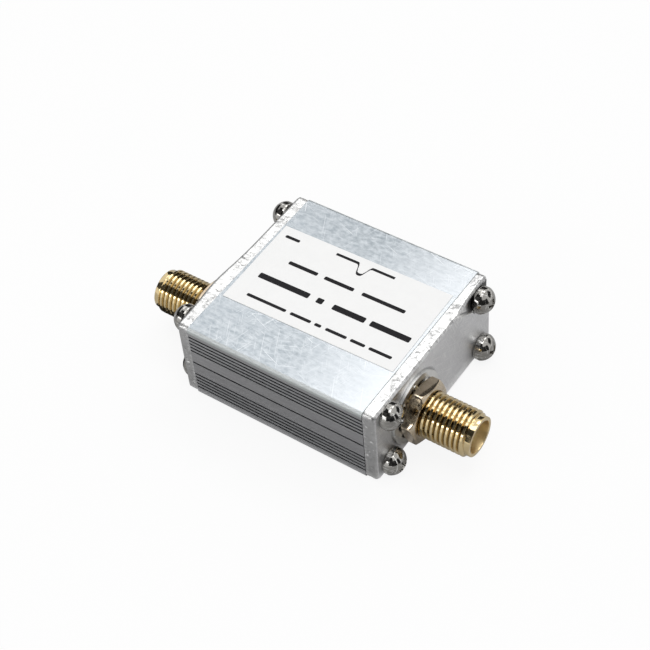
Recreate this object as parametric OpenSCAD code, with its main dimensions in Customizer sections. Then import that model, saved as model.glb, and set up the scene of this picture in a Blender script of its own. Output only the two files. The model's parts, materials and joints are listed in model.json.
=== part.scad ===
// Small coaxial band stop filter: a grooved extruded housing with a screwed plate at each
// end, a threaded coaxial jack through each plate and a filter board held between them.
// X runs along the jacks, Y across the housing, Z up. The origin is the middle of the
// housing's underside, the face that the filter stands on. Millimetres.

/* [Housing] */
// Length of the extruded housing between the end plates
housing_length = 27.2; // [24:0.2:60]
// Width of the housing across its grooved sides
housing_width = 28.4; // [26:0.2:50]
// Height of the housing
housing_height = 13; // [12:0.2:24]
// Thickness of the top, the bottom and the sides
housing_wall = 1.5; // [1.2:0.1:2.2]
// Radius of the four long outer edges
housing_edge_r = 0.5; // [0.3:0.1:1]

/* [Side grooves] */
// Width of one fine groove
groove_width = 0.28; // [0.15:0.01:0.4]
// Depth of one fine groove
groove_depth = 0.24; // [0.1:0.02:0.3]
// Distance between neighbouring grooves of a band
groove_pitch = 0.66; // [0.5:0.02:0.8]
// Number of grooves in each band
groove_count = 5; // [2:1:5]
// Distance from the middle groove to the first groove of each band
groove_band_offset = 2.35; // [1.2:0.05:2.6]

/* [End plates] */
// Thickness of an end plate
plate_thickness = 1.8; // [1.2:0.1:3]
// How far the outline of a plate stays inside that of the housing
plate_inset = 0.05; // [0.02:0.01:0.4]
// Bevel round the outer face of a plate
plate_bevel = 0.35; // [0.1:0.05:0.6]
// Radius of the plate's corners
plate_corner_r = 0.7; // [0.2:0.1:1]

/* [Drawn-in plate corner] */
// Depth of the dent in the upper back corner of the right-hand plate
dent_depth = 0.45; // [0.1:0.05:0.7]
// Radius of the dent's floor
dent_r = 13; // [8:0.5:30]
// Slope of the crease that bounds the dent
dent_turn = 36.6; // [20:0.2:60]
// Distance of the deepest line of the dent from the corner
dent_reach = 1.8; // [0.5:0.1:4]
// Depth to which the head of the upper back screw has bedded in the dent
bedding_depth = 0.2; // [0:0.02:0.7]

/* [Plate screws] */
// Major diameter of the screw thread
screw_d = 2; // [1.6:0.1:2.2]
// Length of a screw under its head
screw_length = 6; // [5:0.5:10]
// Diameter of a screw head
screw_head_d = 3.86; // [3.4:0.02:3.96]
// How much narrower a head is where it meets the plate
screw_head_taper = 0.28; // [0:0.02:0.6]
// Height over which a head widens from the plate
screw_head_flare = 0.35; // [0.1:0.05:0.38]
// Height of a screw head
screw_head_h = 2.3; // [1.6:0.1:2.5]
// Height at which the side of a screw head turns into its dome
screw_head_wall = 0.9; // [0.4:0.05:1.1]
// Length of each arm pair of the cross recess
recess_length = 2; // [1.2:0.1:2.4]
// Width of an arm of the cross recess
recess_width = 0.42; // [0.3:0.02:0.6]
// Depth of the cross recess
recess_depth = 0.9; // [0.5:0.05:1]
// Distance from a screw to the side of the housing
screw_side_distance = 2.9; // [2.4:0.05:4]
// Distance from a screw to the top or the underside of the housing
screw_face_distance = 1.9; // [1.9:0.05:2.6]
// Diametral room for a screw in the plate
screw_plate_clearance = 0.2; // [0.1:0.05:0.5]
// Diametral room round the thread in its channel
screw_channel_clearance = 0.1; // [0.05:0.01:0.2]
// Wall round a screw channel
channel_wall = 0.75; // [0.5:0.05:1]
// Width of the slit that opens each channel to the inside
channel_slit = 0.7; // [0.4:0.1:1.2]

/* [Jacks] */
// Distance of the jack axis from the front side of the housing
jack_side_distance = 9.1; // [8.8:0.1:13]
// Height of the jack axis above the underside
jack_height = 6.1; // [5.9:0.1:10]
// Major diameter of the thread on the jack barrel
barrel_d = 6.35; // [6.2:0.01:6.5]
// Pitch of that thread, 36 turns to the inch
thread_pitch = 0.7056; // [0.5:0.0001:0.8]
// Length of the barrel in front of the end plate
barrel_reach = 9.75; // [7:0.05:16]
// Diameter of the plain lead-in at the mouth
lead_d = 5.6; // [5.2:0.05:6]
// Length of the plain lead-in
lead_length = 0.7; // [0.3:0.05:1.5]
// Bevel between the thread and the lead-in
lead_bevel = 0.3; // [0.1:0.05:0.5]
// Inner diameter of the mouth
mouth_d = 4.6; // [4.4:0.05:4.9]
// Depth of the mouth down to the insulator
mouth_depth = 1.95; // [1.5:0.05:2.5]
// Diameter of the insulator
insulator_d = 4.1; // [3.8:0.05:4.2]
// Diametral room between pieces that are pressed into each other
press_clearance = 0.04; // [0.02:0.01:0.08]
// Side of the square base behind the plate
base_side = 6.4; // [6.2:0.1:7]
// Thickness of the square base
base_thickness = 1.9; // [1.5:0.1:2.5]
// Length of the four legs that grip the board
leg_length = 4; // [2.5:0.1:5]
// Side of a leg
leg_side = 1; // [0.8:0.05:1.1]
// Distance of a leg's middle from the jack axis, across
leg_spread = 2.6; // [2:0.05:2.6]
// Diametral room of the barrel in the plate
barrel_plate_clearance = 0.2; // [0.1:0.05:0.5]

/* [Centre contacts] */
// Outer diameter of the centre contact
contact_d = 1.27; // [1.2:0.01:1.3]
// Diameter of its socket
socket_d = 0.94; // [0.9:0.01:0.96]
// Depth of its socket
socket_depth = 3; // [2.5:0.1:4]
// Width of the slits that make its four fingers
finger_slit = 0.16; // [0.1:0.02:0.3]
// Length of the slits
finger_length = 2.2; // [1.5:0.1:2.4]
// Diameter of the tail that lies on the board
tail_d = 0.9; // [0.7:0.05:1]
// Length of the tail behind the base
tail_length = 2.6; // [1.5:0.1:3.5]

/* [Nuts and washers] */
// Distance across the flats of the nut
nut_flats = 8; // [7.8:0.1:9]
// Thickness of the nut
nut_thickness = 2; // [1.5:0.1:3]
// Diametral room of the nut on the barrel
nut_clearance = 0.06; // [0.04:0.01:0.1]
// Turn of the right-hand nut from a corner straight back
right_nut_turn = 48; // [0:1:60]
// Turn of the left-hand nut from a corner straight back
left_nut_turn = 0; // [0:1:60]
// Outer diameter of the lock washer
washer_d = 10.5; // [9.5:0.1:11]
// Width of the washer's ring
washer_ring = 0.95; // [0.8:0.05:1.2]
// Thickness of the washer's ring
washer_thickness = 0.4; // [0.3:0.02:0.44]
// Thickness that the twisted teeth take between plate and nut
washer_seat = 0.5; // [0.46:0.02:0.6]
// Number of teeth on the inside of the ring
tooth_count = 10; // [6:1:12]
// Width of a tooth
tooth_width = 1; // [0.7:0.05:1.1]
// Thickness of a tooth
tooth_thickness = 0.28; // [0.2:0.01:0.3]
// Twist of a tooth out of the ring
tooth_twist = 11; // [5:1:12]

/* [Filter board] */
// Thickness of the board
board_thickness = 1.6; // [0.8:0.1:1.6]
// Depth of the slots that hold the board
slot_depth = 0.7; // [0.4:0.05:0.8]
// Room round the board in its slots and behind the jacks
board_clearance = 0.1; // [0.05:0.01:0.2]
// Thickness of the copper on the board, drawn a little heavy
copper_thickness = 0.05; // [0.03:0.01:0.08]
// Width of the signal track
track_width = 2; // [1.8:0.1:2.6]
// Gap between the track and the copper round it
track_gap = 0.5; // [0.3:0.05:0.8]
// Length of a chip capacitor or chip inductor
chip_length = 1.6; // [1:0.1:2]
// Width of a chip
chip_width = 0.85; // [0.5:0.05:1]
// Height of a chip
chip_height = 0.8; // [0.4:0.05:1]
// Length of the metal end of a chip
chip_end = 0.35; // [0.2:0.05:0.5]
// Distance between neighbouring resonators along the track
resonator_pitch = 6; // [4:0.1:7]

/* [Label] */
// Bare strip left on the housing at each end of the label
label_end_gap = 0.4; // [0.3:0.05:6]
// Width of the label
label_width = 15; // [8:0.2:24]
// Thickness of the label, drawn a little heavy
label_thickness = 0.1; // [0.05:0.01:0.2]
// Shift of the label across the housing
label_shift = 0.75; // [-2:0.05:2]
// Turn of the label, as it was stuck on by hand
label_turn = 1; // [-2:0.1:2]
// Radius of the label's corners
label_corner_r = 0.15; // [0.05:0.05:2]

/* [Hidden] */
$fn = 64;
// small overlap that lets a cutter pass through a face
cut = 0.2;
// the two ends of the filter
LEFT = -1;
RIGHT = 1;
// conical bands that make up the dome of a screw head
dome_steps = 6;
// gap between the teeth of a lock washer and the thread
tooth_room = 0.1;
// bare strip between the copper and the slots of the housing
copper_edge = 0.3;
// how far the plated ends of a chip stand proud of its body
chip_end_step = 0.03;
// wound chips: the core's side as a share of the height, and the turns, set in from the feet
core_share = 0.55;
wire_turns = 4;
wire_inset = 0.06;
// thickness of the solder over a contact tail, its bare ends, and the fillet along a leg
solder_thickness = 0.35;
solder_end = 0.2;
solder_fillet = 0.6;
plate_face = housing_length / 2 + plate_thickness;
screw_y = housing_width / 2 - screw_side_distance;
jack_y = jack_side_distance - housing_width / 2;
screw_rows = [screw_face_distance, housing_height - screw_face_distance];
channel_r = (screw_d + screw_channel_clearance) / 2;
cavity_width = housing_width - 2 * housing_wall;
cavity_height = housing_height - 2 * housing_wall;
// barrel length from the plate's inner face to the rim, and the face of the insulator
barrel_length = plate_thickness + barrel_reach;
insulator_face = barrel_length - mouth_depth;
board_length = housing_length - 2 * base_thickness - 2 * board_clearance;
board_width = cavity_width + 2 * (slot_depth - board_clearance);
// the tail of the contact lies on the copper of the board
board_top = jack_height - tail_d / 2 - copper_thickness;
copper_top = board_top + copper_thickness;
// nut and barrel meet at the pitch diameter of the 60 degree thread
pitch_d = barrel_d - 0.6495 * thread_pitch;
nut_from = plate_thickness + washer_seat;
free_thread_from = nut_from + nut_thickness;
board_bottom = board_top - board_thickness;
// the copper keeps clear of the slots
copper_side = cavity_width / 2 - copper_edge;
label_length = housing_length - 2 * label_end_gap;
// undersides of the upper and the lower legs; a hair of room lets the board slide in
leg_room = 0.02;
leg_rows = [copper_top + leg_room, board_bottom - copper_thickness - leg_side - leg_room];

// a rectangle with true round corners, centred
module round_rect(size, r) {
    square([size[0] - 2 * r, size[1]], center = true);
    square([size[0], size[1] - 2 * r], center = true);
    for (sx = [-1, 1], sy = [-1, 1])
        translate([sx * (size[0] / 2 - r), sy * (size[1] / 2 - r)]) circle(r);
}

// puts a profile drawn in Y and Z into place and draws it out along X
module along_x(from, length) {
    translate([from, 0, 0]) rotate([90, 0, 90]) linear_extrude(length) children();
}

// a shape drawn with X pointing out of the right-hand plate, moved to either end
module at_end(side) {
    if (side == RIGHT) children();
    else mirror([1, 0, 0]) children();
}

// the same for what stands on a jack axis, with X = 0 at the inner face of the plate
module on_jack(side) {
    at_end(side) translate([housing_length / 2, jack_y, jack_height]) children();
}

module round_x(d, from, length) {
    translate([from, 0, 0]) rotate([0, 90, 0]) cylinder(h = length, d = d);
}

// turns a profile of [radius, x] points round the X axis
module turned(points) {
    rotate([0, 90, 0]) rotate_extrude() polygon(points);
}

module at_screws() {
    for (side = [-1, 1], z = screw_rows) translate([side * screw_y, z]) children();
}

// one side's grooves: a middle line and a band above and below it
module side_grooves() {
    offsets = [0, for (band = [-1, 1], k = [0:groove_count - 1])
        band * (groove_band_offset + k * groove_pitch)];
    for (z = offsets)
        translate([housing_width / 2 - groove_depth, housing_height / 2 + z - groove_width / 2])
            square([groove_depth + cut, groove_width]);
}

module housing_profile() {
    difference() {
        translate([0, housing_height / 2])
            round_rect([housing_width, housing_height], housing_edge_r);
        difference() {
            translate([-cavity_width / 2, housing_wall]) square([cavity_width, cavity_height]);
            at_screws() circle(channel_r + channel_wall);
        }
        at_screws() circle(channel_r);
        for (side = [-1, 1], z = screw_rows)
            translate([side * (screw_y - channel_r - channel_wall), z])
                square([2 * (channel_r + channel_wall), channel_slit], center = true);
        translate([-cavity_width / 2 - slot_depth, board_bottom - board_clearance])
            square([cavity_width + 2 * slot_depth, board_thickness + 2 * board_clearance]);
        side_grooves();
        mirror([1, 0]) side_grooves();
    }
}

module housing() {
    color("#b9bec4") along_x(-housing_length / 2, housing_length) housing_profile();
}

// a flat plate with bevelled outer edges, a hole for the jack and four screw holes
module end_plate(side) {
    width = housing_width - 2 * plate_inset;
    height = housing_height - 2 * plate_inset;
    color("#aeb2b8") at_end(side) difference() {
        along_x(housing_length / 2, plate_thickness)
            translate([0, housing_height / 2]) round_rect([width, height], plate_corner_r);
        for (dir = [-1, 1]) {
            translate([plate_face, dir * width / 2, housing_height / 2]) rotate([0, 0, 45])
                cube([plate_bevel * sqrt(2), plate_bevel * sqrt(2), height + cut], center = true);
            translate([plate_face, 0, housing_height / 2 + dir * height / 2]) rotate([0, 45, 0])
                cube([plate_bevel * sqrt(2), width + cut, plate_bevel * sqrt(2)], center = true);
        }
        along_x(housing_length / 2 - cut, plate_thickness + 2 * cut) {
            at_screws() circle(d = screw_d + screw_plate_clearance);
            translate([jack_y, jack_height]) circle(d = barrel_d + barrel_plate_clearance);
        }
        if (side == RIGHT) drawn_in_corner();
    }
}

// a shallow hollow bounded by a sloping crease, with the seat that one screw pressed into it
module drawn_in_corner() {
    translate([plate_face - dent_depth + dent_r, housing_width / 2 - dent_reach * sin(dent_turn),
        housing_height - dent_reach * cos(dent_turn)])
        rotate([-dent_turn, 0, 0]) rotate([90, 0, 0])
            cylinder(h = housing_width, r = dent_r, center = true);
    translate([plate_face - bedding_depth, screw_y, screw_rows[1]])
        round_x(screw_head_d + screw_plate_clearance, 0, plate_thickness);
}

// a pan head screw lying along X, its head seated at X = 0 and domed towards +X
module pan_screw() {
    head_r = screw_head_d / 2;
    crown = screw_head_h - screw_head_wall;
    dome_r = (head_r * head_r + crown * crown) / (2 * crown);
    dome_angle = asin(head_r / dome_r);
    dome = [for (a = [1:-1 / dome_steps:0]) [dome_r * sin(a * dome_angle),
        screw_head_h - dome_r + dome_r * cos(a * dome_angle)]];
    difference() {
        turned(concat([[0, -screw_length], [screw_d / 2, -screw_length], [screw_d / 2, 0],
            [head_r - screw_head_taper / 2, 0], [head_r, screw_head_flare]], dome));
        for (turn = [0, 90]) rotate([turn, 0, 0])
            translate([screw_head_h - recess_depth, -recess_length / 2, -recess_width / 2])
                cube([recess_depth + cut, recess_length, recess_width]);
    }
}

// lower front, lower back, upper front and upper back screw; each cross stops where the
// screw came tight
module plate_screws(side) {
    turns = side == RIGHT ? [20, 62, 35, 75] : [48, 10, 66, 28];
    bedding = side == RIGHT ? [0, 0, 0, bedding_depth] : [0, 0, 0, 0];
    color("#d4d2cc") at_end(side) for (i = [0:3])
        translate([plate_face - bedding[i], (i % 2 * 2 - 1) * screw_y, screw_rows[floor(i / 2)]])
            rotate([turns[i], 0, 0]) pan_screw();
}

// The turned barrel with its square base and the four legs that take the board. The thread
// is drawn at its major diameter, and at its pitch diameter where the nut grips it.
module jack_body(side) {
    lead_from = barrel_length - lead_length;
    inner_d = insulator_d + press_clearance;
    color("#cfae62") on_jack(side) {
        difference() {
            union() {
                turned([[0, -base_thickness / 2], [barrel_d / 2, -base_thickness / 2],
                    [barrel_d / 2, nut_from], [pitch_d / 2, nut_from],
                    [pitch_d / 2, free_thread_from], [barrel_d / 2, free_thread_from],
                    [barrel_d / 2, lead_from - lead_bevel], [lead_d / 2, lead_from],
                    [lead_d / 2, barrel_length], [0, barrel_length]]);
                translate([-base_thickness, -base_side / 2, -base_side / 2])
                    cube([base_thickness, base_side, base_side]);
            }
            round_x(inner_d, -base_thickness - cut, insulator_face + base_thickness + 2 * cut);
            round_x(mouth_d, insulator_face, mouth_depth + cut);
        }
        for (dir = [-1, 1], z = leg_rows)
            translate([-base_thickness - leg_length, dir * leg_spread - leg_side / 2, z - jack_height])
                cube([leg_length + cut, leg_side, leg_side]);
    }
}

// the white insulator that carries the centre contact
module insulator(side) {
    color("#f4f3ee") on_jack(side) difference() {
        round_x(insulator_d, -base_thickness, insulator_face + base_thickness);
        round_x(contact_d + press_clearance, -base_thickness - cut,
            insulator_face + base_thickness + 2 * cut);
    }
}

// a turned pin: a slit socket at the mouth and a thin tail on the board
module centre_contact(side) {
    color("#d9b25c") on_jack(side) difference() {
        union() {
            round_x(contact_d, -base_thickness, insulator_face + base_thickness);
            round_x(tail_d, -base_thickness - tail_length, tail_length + cut);
        }
        round_x(socket_d, insulator_face - socket_depth, socket_depth + cut);
        for (turn = [0, 90]) rotate([turn, 0, 0])
            translate([insulator_face - finger_length, -contact_d / 2 - cut, -finger_slit / 2])
                cube([finger_length + cut, contact_d + 2 * cut, finger_slit]);
    }
}

// hexagon nut with both faces chamfered at 30 degrees
module hex_nut(side) {
    turn = side == RIGHT ? right_nut_turn : left_nut_turn;
    corner_d = nut_flats / cos(30);
    chamfer = (corner_d - nut_flats) / 2 * tan(30);
    color("#c9a24e") on_jack(side) translate([nut_from, 0, 0]) difference() {
        intersection() {
            rotate([0, 90, 0]) rotate([0, 0, 90 + turn]) cylinder(h = nut_thickness, d = corner_d, $fn = 6);
            turned([[0, 0], [nut_flats / 2, 0], [corner_d / 2, chamfer],
                [corner_d / 2, nut_thickness - chamfer], [nut_flats / 2, nut_thickness],
                [0, nut_thickness]]);
        }
        round_x(pitch_d + nut_clearance, -cut, nut_thickness + 2 * cut);
    }
}

// internal tooth lock washer: a flat ring with short teeth twisted out of its plane
module lock_washer(side) {
    ring_inner = washer_d / 2 - washer_ring;
    tooth_from = (barrel_d + nut_clearance) / 2 + tooth_room;
    color("#dcdad4") on_jack(side) translate([plate_thickness, 0, 0]) {
        difference() {
            round_x(washer_d, 0, washer_thickness);
            round_x(2 * ring_inner, -cut, washer_thickness + 2 * cut);
        }
        for (k = [0:tooth_count - 1]) rotate([360 * k / tooth_count, 0, 0])
            translate([washer_seat / 2, 0, tooth_from]) rotate([0, 0, tooth_twist])
                translate([-tooth_thickness / 2, -tooth_width / 2, 0])
                    cube([tooth_thickness, tooth_width, ring_inner - tooth_from + cut]);
    }
}

module filter_board() {
    color("#2f6b45") translate([-board_length / 2, -board_width / 2, board_bottom])
        cube([board_length, board_width, board_thickness]);
}

// places of the chips as [x, y, turn]; shunt arms stand on the track, tanks lie in it
shunt_x = [for (k = [-1:1]) k * resonator_pitch];
tank_x = [for (k = [-1, 1]) k * resonator_pitch / 2];
pad_pitch = chip_length + track_gap;
shunt_inductor_y = jack_y + track_width / 2 - chip_end + chip_length / 2;
shunt_capacitor_y = shunt_inductor_y + pad_pitch;
ground_edge_y = shunt_capacitor_y + chip_length / 2 - chip_end;
tank_y = jack_y + track_width / 2 - chip_width / 2;
INDUCTORS = concat([for (x = shunt_x) [x, shunt_inductor_y, 90]],
    [for (x = tank_x) [x, tank_y, 0]]);
CAPACITORS = concat([for (x = shunt_x) [x, shunt_capacitor_y, 90]],
    [for (x = tank_x) [x, tank_y - track_width + chip_width, 0]]);

// copper of the upper face, drawn from above
module top_copper() {
    end_x = board_length / 2 - board_clearance;
    gap_in_track = chip_length - 2 * chip_end;
    // the signal track, broken under each tank
    translate([0, jack_y]) difference() {
        square([2 * end_x, track_width], center = true);
        for (x = tank_x) translate([x, 0]) square([gap_in_track, track_width + cut], center = true);
    }
    // a small pad between the two chips of each shunt arm
    for (x = shunt_x) translate([x, (shunt_inductor_y + shunt_capacitor_y) / 2])
        square([chip_width, pad_pitch - chip_length + 2 * chip_end], center = true);
    // ground copper in front of the track, behind the shunt arms and under the back legs
    front_edge = jack_y - track_width / 2 - track_gap;
    translate([-end_x, -copper_side]) square([2 * end_x, front_edge + copper_side]);
    translate([-end_x, ground_edge_y]) square([2 * end_x, copper_side - ground_edge_y]);
    leg_pad_y = jack_y + track_width / 2 + track_gap;
    leg_pad_x = resonator_pitch + chip_width / 2 + track_gap;
    for (dir = [0, 1]) mirror([dir, 0]) translate([leg_pad_x, leg_pad_y])
        square([end_x - leg_pad_x, ground_edge_y - leg_pad_y + cut]);
}

module copper_tracks() {
    color("#c77b3b") {
        translate([0, 0, board_top]) linear_extrude(copper_thickness) top_copper();
        translate([-board_length / 2 + board_clearance, -copper_side,
            board_bottom - copper_thickness])
            cube([board_length - 2 * board_clearance, 2 * copper_side, copper_thickness]);
    }
}

// the two metal ends of a chip
module chip_ends() {
    for (dir = [-1, 1])
        translate([dir * (chip_length - chip_end) / 2 - chip_end / 2, -chip_width / 2, 0])
            cube([chip_end, chip_width, chip_height]);
}

// sets one chip on each place of a list
module on_board(places) {
    for (c = places) translate([c[0], c[1], copper_top]) rotate([0, 0, c[2]]) children();
}

// ceramic chips with plated ends a little proud of the body
module chip_capacitors() {
    body_width = chip_width - 2 * chip_end_step;
    color("#b59a78") on_board(CAPACITORS) {
        translate([-(chip_length - chip_end) / 2, -body_width / 2, 0])
            cube([chip_length - chip_end, body_width, chip_height - chip_end_step]);
        chip_ends();
    }
}

// wound chips: a waisted core between its two feet, with turns of wire round it
module chip_inductors() {
    core_side = core_share * chip_height;
    wire_pitch = (chip_length - 2 * chip_end) / wire_turns;
    wire = 0.8 * wire_pitch;
    color("#6b4a33") on_board(INDUCTORS) {
        translate([-(chip_length - chip_end) / 2, -core_side / 2, (chip_height - core_side) / 2])
            cube([chip_length - chip_end, core_side, core_side]);
        chip_ends();
        for (k = [0:wire_turns - 1])
            translate([(k - (wire_turns - 1) / 2) * wire_pitch - wire / 2, 0, chip_height / 2])
                round_x(chip_height - 2 * wire_inset, 0, wire);
    }
}

// solder over each contact tail and a fillet along every leg
module solder_joints() {
    mound_r = tail_d / 2 + solder_thickness;
    mound_length = tail_length - 2 * solder_end;
    fillet = solder_fillet;
    color("#c8cbd0") for (side = [LEFT, RIGHT]) on_jack(side) {
        translate([-base_thickness - tail_length - solder_end, 0, 0]) difference() {
            round_x(2 * mound_r, 0, mound_length);
            round_x(tail_d, solder_end, mound_length);
            translate([-cut, -mound_r - cut, -2 * mound_r + copper_top - jack_height])
                cube([mound_length + 2 * cut, 2 * mound_r + 2 * cut, 2 * mound_r]);
        }
        for (dir = [-1, 1], up = [0, 1])
            translate([-base_thickness - leg_length, dir * (leg_spread + leg_side / 2),
                (up ? copper_top : board_bottom - copper_thickness) - jack_height])
                difference() {
                    translate([0, (dir - 1) * fillet / 2, (up - 1) * fillet])
                        cube([leg_length - board_clearance - solder_end, fillet, fillet]);
                    translate([0, dir * fillet, (2 * up - 1) * fillet])
                        round_x(2 * fillet, -cut, leg_length + cut);
                }
    }
}

// the paper label on the top of the housing
module label() {
    color("#f7f7f5") translate([0, label_shift, housing_height]) rotate([0, 0, label_turn])
        linear_extrude(label_thickness) round_rect([label_length, label_width], label_corner_r);
}

housing();
end_plate(LEFT);  // left_end_plate
end_plate(RIGHT);  // right_end_plate
plate_screws(LEFT);  // left_plate_screws
plate_screws(RIGHT);  // right_plate_screws
jack_body(LEFT);  // left_jack_body
jack_body(RIGHT);  // right_jack_body
insulator(LEFT);  // left_insulator
insulator(RIGHT);  // right_insulator
centre_contact(LEFT);  // left_centre_contact
centre_contact(RIGHT);  // right_centre_contact
hex_nut(LEFT);  // left_hex_nut
hex_nut(RIGHT);  // right_hex_nut
lock_washer(LEFT);  // left_lock_washer
lock_washer(RIGHT);  // right_lock_washer
filter_board();
copper_tracks();
chip_capacitors();
chip_inductors();
solder_joints();
label();
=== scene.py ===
# Coaxial band stop filter: a grooved aluminium housing with a screwed plate and a threaded
# jack at each end. Pieces are drawn in millimetres and scaled to metres as they are finished.
import json
import math

import bmesh
import bpy
from mathutils import Matrix, Vector, geometry, noise

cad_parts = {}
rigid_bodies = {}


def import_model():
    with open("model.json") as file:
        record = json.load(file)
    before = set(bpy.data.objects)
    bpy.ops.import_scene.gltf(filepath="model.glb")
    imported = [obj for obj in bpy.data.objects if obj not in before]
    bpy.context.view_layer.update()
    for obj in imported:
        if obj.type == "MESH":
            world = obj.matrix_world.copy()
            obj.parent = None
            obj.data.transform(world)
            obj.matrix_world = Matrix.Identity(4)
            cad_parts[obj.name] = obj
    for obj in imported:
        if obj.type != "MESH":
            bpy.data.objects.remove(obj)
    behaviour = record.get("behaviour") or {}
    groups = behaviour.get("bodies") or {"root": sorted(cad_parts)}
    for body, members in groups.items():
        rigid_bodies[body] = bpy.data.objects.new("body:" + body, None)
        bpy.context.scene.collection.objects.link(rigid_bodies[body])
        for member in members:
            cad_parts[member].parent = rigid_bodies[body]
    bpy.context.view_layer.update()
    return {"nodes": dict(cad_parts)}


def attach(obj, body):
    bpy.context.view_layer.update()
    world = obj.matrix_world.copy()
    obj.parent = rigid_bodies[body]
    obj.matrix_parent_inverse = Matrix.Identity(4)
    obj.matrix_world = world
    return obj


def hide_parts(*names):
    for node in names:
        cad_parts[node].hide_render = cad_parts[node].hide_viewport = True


for leftover in list(bpy.data.objects):
    bpy.data.objects.remove(leftover)
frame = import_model()
scene = bpy.context.scene

# Housing
# One sawn length of extruded aluminium tube, grooved along both sides. The drawing left fine
# lines along it, handling has scratched the top, and a painted highlight runs along its long top edges.
mm = 0.001
# how far out from the middle and how high up the flanks take painted shade in the grooves, a painted
# highlight below the top and a painted highlight on the long top edges
groove_shade_depths, edge_highlight_depths = (14.02 * mm, 14.19 * mm), (13.75 * mm, 13.95 * mm)
flank_sheen_heights, edge_highlight_heights = (12.1 * mm, 12.3 * mm), (12.55 * mm, 12.85 * mm)
# where along it the top takes a painted sheen that grows towards the right
top_sheen_from, top_sheen_to = 1 * mm, 13 * mm


def put(tree, kind, inputs=(), **settings):
    """adds a node, with a number or another node's output on each named input"""
    made = tree.nodes.new(kind)
    for name, value in settings.items():
        setattr(made, name, value)
    for socket, value in dict(inputs).items():
        if isinstance(value, bpy.types.NodeSocket):
            tree.links.new(value, made.inputs[socket])
        else:
            made.inputs[socket].default_value = value
    return made


def reckon(tree, operation, *values, **settings):
    """the result of one sum on numbers and other nodes' outputs"""
    return put(tree, "ShaderNodeMath", dict(enumerate(values)), operation=operation, **settings).outputs[0]


def object_place(tree, axis):
    """how far along its X, Y or Z a point of the object lies, in metres"""
    place = put(tree, "ShaderNodeTexCoord").outputs["Object"]
    return put(tree, "ShaderNodeSeparateXYZ", {0: place}).outputs[axis]


def spread(tree, value, low, high, to_low=0.0, to_high=1.0):
    """value stretched from low..high to to_low..to_high and held there"""
    inputs = {"Value": value, "From Min": low, "From Max": high, "To Min": to_low, "To Max": to_high}
    return put(tree, "ShaderNodeMapRange", inputs).outputs["Result"]


def between(tree, mask, first, second):
    """the first colour, turning to the second where the mask is 1"""
    mix = put(tree, "ShaderNodeMix", {0: mask}, data_type="RGBA")
    for socket, colour in ((6, first), (7, second)):
        if isinstance(colour, bpy.types.NodeSocket):
            tree.links.new(colour, mix.inputs[socket])
        else:
            mix.inputs[socket].default_value = (*colour, 1)
    return mix.outputs[2]


def start_group(name, inputs, output):
    """a shader node group with its named input sockets, values and one output"""
    tree = bpy.data.node_groups.new(name, "ShaderNodeTree")
    for label, kind, value in inputs:
        socket = tree.interface.new_socket(label, in_out="INPUT", socket_type=kind)
        socket.default_value = value
    tree.interface.new_socket(output, in_out="OUTPUT", socket_type="NodeSocketFloat")
    return tree, tree.nodes.new("NodeGroupInput").outputs


def end_group(tree, value):
    """joins the group's result to its output"""
    tree.links.new(value, tree.nodes.new("NodeGroupOutput").inputs[0])
    return tree


# uneven finish: soft or streaky noise, by how many features it has to the metre each way
uneven, given = start_group(
    "uneven finish",
    [("Density", "NodeSocketVector", (500, 500, 500)), ("Contrast", "NodeSocketFloat", 1.5),
     ("Detail", "NodeSocketFloat", 3.0), ("Start", "NodeSocketFloat", 0.0)],
    "Value",
)
place = put(uneven, "ShaderNodeTexCoord").outputs["Object"]
place = put(uneven, "ShaderNodeVectorMath", {0: place, 1: given["Density"]}, operation="MULTIPLY")
place = put(uneven, "ShaderNodeVectorMath", {0: place.outputs[0], 1: given["Start"]}, operation="ADD")
cloud = put(uneven, "ShaderNodeTexNoise", {"Vector": place.outputs[0], "Scale": 1.0,
                                           "Detail": given["Detail"], "Roughness": 0.6})
level = reckon(uneven, "SUBTRACT", cloud.outputs[0], 0.5)
level = reckon(uneven, "MULTIPLY", level, given["Contrast"])
end_group(uneven, reckon(uneven, "ADD", level, 0.5, use_clamp=True))

# fine scratches: thin streaks that lie in several directions in one plane
scratches, given = start_group(
    "fine scratches",
    [("Turn", "NodeSocketVector", (0, 0, 0)), ("Length", "NodeSocketFloat", 0.003),
     ("Width", "NodeSocketFloat", 0.0001), ("Threshold", "NodeSocketFloat", 0.7),
     ("Start", "NodeSocketFloat", 0.0)],
    "Mask",
)
place = put(scratches, "ShaderNodeTexCoord").outputs["Object"]
plane = put(scratches, "ShaderNodeVectorRotate", {"Vector": place, "Rotation": given["Turn"]},
            rotation_type="EULER_XYZ").outputs[0]
size = put(scratches, "ShaderNodeCombineXYZ",
           {"X": given["Length"], "Y": given["Width"], "Z": given["Length"]}).outputs[0]
edge = reckon(scratches, "ADD", given["Threshold"], 0.05)
mask = None
for step, angle in enumerate((0.35, 1.1, 1.9, 2.75)):
    line = put(scratches, "ShaderNodeVectorRotate", {"Vector": plane, "Angle": angle},
               rotation_type="Z_AXIS").outputs[0]
    line = put(scratches, "ShaderNodeVectorMath", {0: line, 1: size}, operation="DIVIDE").outputs[0]
    shift = reckon(scratches, "ADD", given["Start"], 7.3 * step)
    line = put(scratches, "ShaderNodeVectorMath", {0: line, 1: shift}, operation="ADD").outputs[0]
    streak = put(scratches, "ShaderNodeTexNoise", {"Vector": line, "Scale": 1.0, "Detail": 0.0}).outputs[0]
    streak = spread(scratches, streak, given["Threshold"], edge)
    mask = streak if mask is None else reckon(scratches, "MAXIMUM", mask, streak)
end_group(scratches, mask)
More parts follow.
